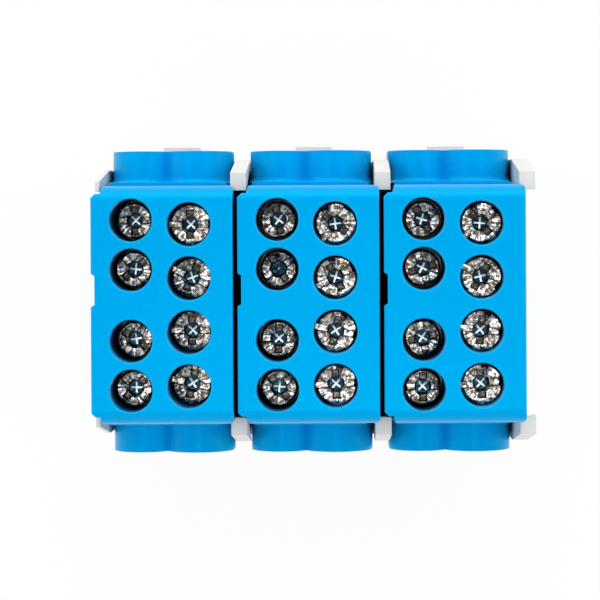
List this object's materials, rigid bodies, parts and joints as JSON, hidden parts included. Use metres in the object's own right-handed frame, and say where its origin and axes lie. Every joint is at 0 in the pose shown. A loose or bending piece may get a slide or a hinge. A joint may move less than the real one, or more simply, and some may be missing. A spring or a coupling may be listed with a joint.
{
  "type": "power distribution block",
  "caption": "Rail-mounted power distribution block of hooked-together poles: blue hoods over terminal bars, cable entries at both ends and clamping screws in deep wells.",
  "frame": {"origin": "middle of the rail channel, level with the underside of the feet, under the middle module", "axes": "+X along the rail from the first module to the third, +Y along the cables towards the pull tabs, +Z from the feet to the screw face"},
  "size_m": [0.0825, 0.06, 0.046],
  "materials": {
    "blue_polyamide": "moulded, satin gloss",
    "grey_polyamide": "moulded, satin",
    "latch_polyamide": "moulded, satin",
    "tinned_brass": "drawn bar, tin plated",
    "zinc_plated_steel": "cold headed, zinc plated",
    "spring_steel": "drawn wire"
  },
  "bodies": {
    "block": {"base_1": "grey_polyamide", "base_2": "grey_polyamide", "base_3": "grey_polyamide", "terminal_bar_1": "tinned_brass", "terminal_bar_2": "tinned_brass", "terminal_bar_3": "tinned_brass", "housing_1": "blue_polyamide", "housing_2": "blue_polyamide", "housing_3": "blue_polyamide", "latch_spring_1": "spring_steel", "latch_spring_2": "spring_steel", "latch_spring_3": "spring_steel"},
    "screw_1_left_1": {"screw_1_left_1": "zinc_plated_steel"},
    "screw_1_left_2": {"screw_1_left_2": "zinc_plated_steel"},
    "screw_1_left_3": {"screw_1_left_3": "zinc_plated_steel"},
    "screw_1_left_4": {"screw_1_left_4": "zinc_plated_steel"},
    "screw_1_right_1": {"screw_1_right_1": "zinc_plated_steel"},
    "screw_1_right_2": {"screw_1_right_2": "zinc_plated_steel"},
    "screw_1_right_3": {"screw_1_right_3": "zinc_plated_steel"},
    "screw_1_right_4": {"screw_1_right_4": "zinc_plated_steel"},
    "screw_2_left_1": {"screw_2_left_1": "zinc_plated_steel"},
    "screw_2_left_2": {"screw_2_left_2": "zinc_plated_steel"},
    "screw_2_left_3": {"screw_2_left_3": "zinc_plated_steel"},
    "screw_2_left_4": {"screw_2_left_4": "zinc_plated_steel"},
    "screw_2_right_1": {"screw_2_right_1": "zinc_plated_steel"},
    "screw_2_right_2": {"screw_2_right_2": "zinc_plated_steel"},
    "screw_2_right_3": {"screw_2_right_3": "zinc_plated_steel"},
    "screw_2_right_4": {"screw_2_right_4": "zinc_plated_steel"},
    "screw_3_left_1": {"screw_3_left_1": "zinc_plated_steel"},
    "screw_3_left_2": {"screw_3_left_2": "zinc_plated_steel"},
    "screw_3_left_3": {"screw_3_left_3": "zinc_plated_steel"},
    "screw_3_left_4": {"screw_3_left_4": "zinc_plated_steel"},
    "screw_3_right_1": {"screw_3_right_1": "zinc_plated_steel"},
    "screw_3_right_2": {"screw_3_right_2": "zinc_plated_steel"},
    "screw_3_right_3": {"screw_3_right_3": "zinc_plated_steel"},
    "screw_3_right_4": {"screw_3_right_4": "zinc_plated_steel"},
    "rail_latch_1": {"rail_latch_1": "latch_polyamide"},
    "rail_latch_2": {"rail_latch_2": "latch_polyamide"},
    "rail_latch_3": {"rail_latch_3": "latch_polyamide"}
  },
  "joints": [
    {"name": "screw_1_left_1_thread", "type": "slide", "parent": "block", "child": "screw_1_left_1", "axis": [0, 0, 1], "range_m": [-0.00843, 0.005]},
    {"name": "screw_1_left_2_thread", "type": "slide", "parent": "block", "child": "screw_1_left_2", "axis": [0, 0, 1], "range_m": [-0.00883, 0.0046]},
    {"name": "screw_1_left_3_thread", "type": "slide", "parent": "block", "child": "screw_1_left_3", "axis": [0, 0, 1], "range_m": [-0.00853, 0.0049]},
    {"name": "screw_1_left_4_thread", "type": "slide", "parent": "block", "child": "screw_1_left_4", "axis": [0, 0, 1], "range_m": [-0.00873, 0.0047]},
    {"name": "screw_1_right_1_thread", "type": "slide", "parent": "block", "child": "screw_1_right_1", "axis": [0, 0, 1], "range_m": [-0.01295, 0.001]},
    {"name": "screw_1_right_2_thread", "type": "slide", "parent": "block", "child": "screw_1_right_2", "axis": [0, 0, 1], "range_m": [-0.00955, 0.0044]},
    {"name": "screw_1_right_3_thread", "type": "slide", "parent": "block", "child": "screw_1_right_3", "axis": [0, 0, 1], "range_m": [-0.00936, 0.0046]},
    {"name": "screw_1_right_4_thread", "type": "slide", "parent": "block", "child": "screw_1_right_4", "axis": [0, 0, 1], "range_m": [-0.00966, 0.0043]},
    {"name": "screw_2_left_1_thread", "type": "slide", "parent": "block", "child": "screw_2_left_1", "axis": [0, 0, 1], "range_m": [-0.00903, 0.0044]},
    {"name": "screw_2_left_2_thread", "type": "slide", "parent": "block", "child": "screw_2_left_2", "axis": [0, 0, 1], "range_m": [-0.00873, 0.0047]},
    {"name": "screw_2_left_3_thread", "type": "slide", "parent": "block", "child": "screw_2_left_3", "axis": [0, 0, 1], "range_m": [-0.00923, 0.0042]},
    {"name": "screw_2_left_4_thread", "type": "slide", "parent": "block", "child": "screw_2_left_4", "axis": [0, 0, 1], "range_m": [-0.00883, 0.0046]},
    {"name": "screw_2_right_1_thread", "type": "slide", "parent": "block", "child": "screw_2_right_1", "axis": [0, 0, 1], "range_m": [-0.01306, 0.0009]},
    {"name": "screw_2_right_2_thread", "type": "slide", "parent": "block", "child": "screw_2_right_2", "axis": [0, 0, 1], "range_m": [-0.01286, 0.0011]},
    {"name": "screw_2_right_3_thread", "type": "slide", "parent": "block", "child": "screw_2_right_3", "axis": [0, 0, 1], "range_m": [-0.01316, 0.0008]},
    {"name": "screw_2_right_4_thread", "type": "slide", "parent": "block", "child": "screw_2_right_4", "axis": [0, 0, 1], "range_m": [-0.01295, 0.001]},
    {"name": "screw_3_left_1_thread", "type": "slide", "parent": "block", "child": "screw_3_left_1", "axis": [0, 0, 1], "range_m": [-0.00893, 0.0045]},
    {"name": "screw_3_left_2_thread", "type": "slide", "parent": "block", "child": "screw_3_left_2", "axis": [0, 0, 1], "range_m": [-0.00923, 0.0042]},
    {"name": "screw_3_left_3_thread", "type": "slide", "parent": "block", "child": "screw_3_left_3", "axis": [0, 0, 1], "range_m": [-0.00863, 0.0048]},
    {"name": "screw_3_left_4_thread", "type": "slide", "parent": "block", "child": "screw_3_left_4", "axis": [0, 0, 1], "range_m": [-0.00903, 0.0044]},
    {"name": "screw_3_right_1_thread", "type": "slide", "parent": "block", "child": "screw_3_right_1", "axis": [0, 0, 1], "range_m": [-0.01295, 0.001]},
    {"name": "screw_3_right_2_thread", "type": "slide", "parent": "block", "child": "screw_3_right_2", "axis": [0, 0, 1], "range_m": [-0.01316, 0.0008]},
    {"name": "screw_3_right_3_thread", "type": "slide", "parent": "block", "child": "screw_3_right_3", "axis": [0, 0, 1], "range_m": [-0.01286, 0.0011]},
    {"name": "screw_3_right_4_thread", "type": "slide", "parent": "block", "child": "screw_3_right_4", "axis": [0, 0, 1], "range_m": [-0.01306, 0.0009]},
    {"name": "rail_latch_1_slide", "type": "slide", "parent": "block", "child": "rail_latch_1", "axis": [0, 1, 0], "range_m": [0, 0.0022], "stiffness_N_per_m": 1500, "springref_m": -0.0015, "deforming": ["latch_spring_1"]},
    {"name": "rail_latch_2_slide", "type": "slide", "parent": "block", "child": "rail_latch_2", "axis": [0, 1, 0], "range_m": [0, 0.0022], "stiffness_N_per_m": 1500, "springref_m": -0.0015, "deforming": ["latch_spring_2"]},
    {"name": "rail_latch_3_slide", "type": "slide", "parent": "block", "child": "rail_latch_3", "axis": [0, 1, 0], "range_m": [0, 0.0022], "stiffness_N_per_m": 1500, "springref_m": -0.0015, "deforming": ["latch_spring_3"]}
  ]
}
